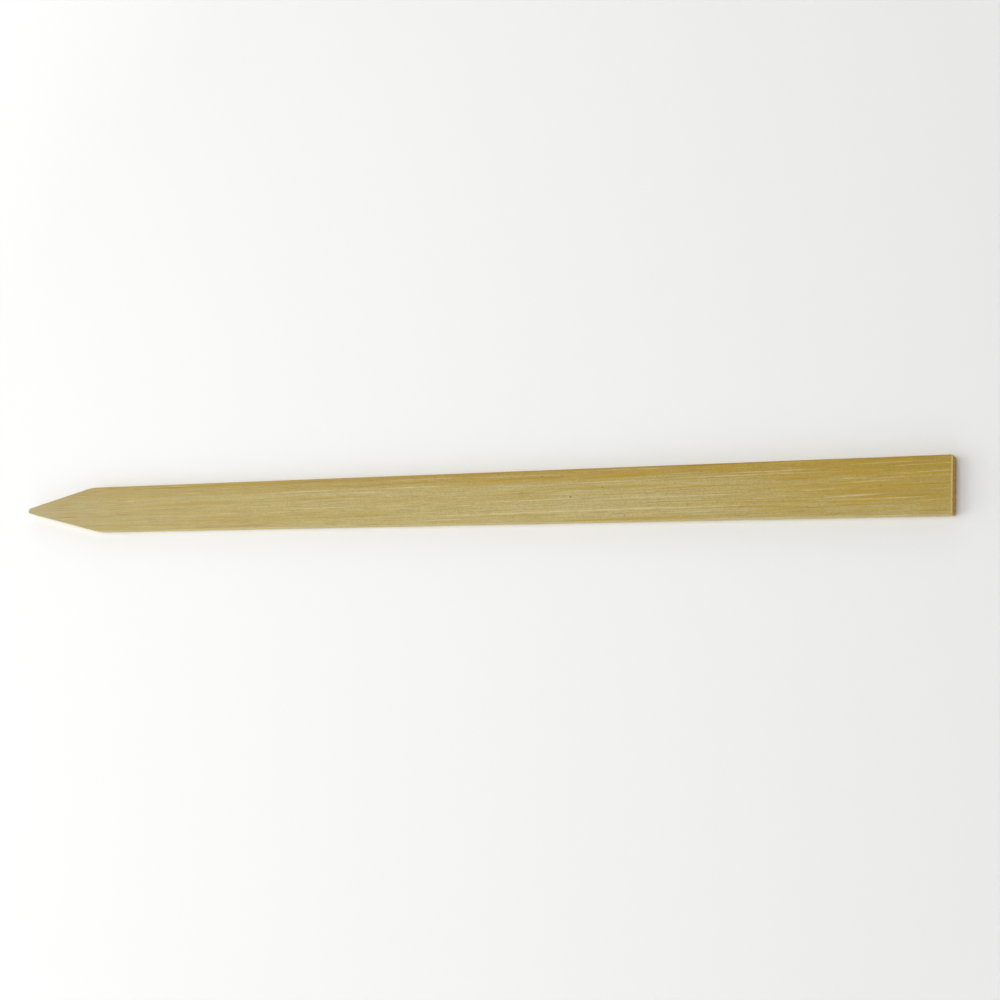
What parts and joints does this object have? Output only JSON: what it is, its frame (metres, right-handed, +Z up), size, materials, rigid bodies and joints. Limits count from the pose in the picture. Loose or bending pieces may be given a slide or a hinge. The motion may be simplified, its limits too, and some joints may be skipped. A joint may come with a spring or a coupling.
{
  "type": "bone folder",
  "caption": "Flat bamboo strip for creasing and scoring paper, cut to a blunt point at one end and square at the other.",
  "frame": {"origin": "under the middle of the strip's bounding box, on the broad underside it lies on", "axes": "+X along the grain towards the square end, with the point at -X; +Y across the width; +Z up through the thickness"},
  "size_m": [0.21, 0.01, 0.0023],
  "materials": {
    "bamboo": "sanded, unvarnished bamboo with straight lengthwise grain"
  },
  "bodies": {
    "root": {"bamboo_strip": "bamboo"}
  },
  "joints": []
}
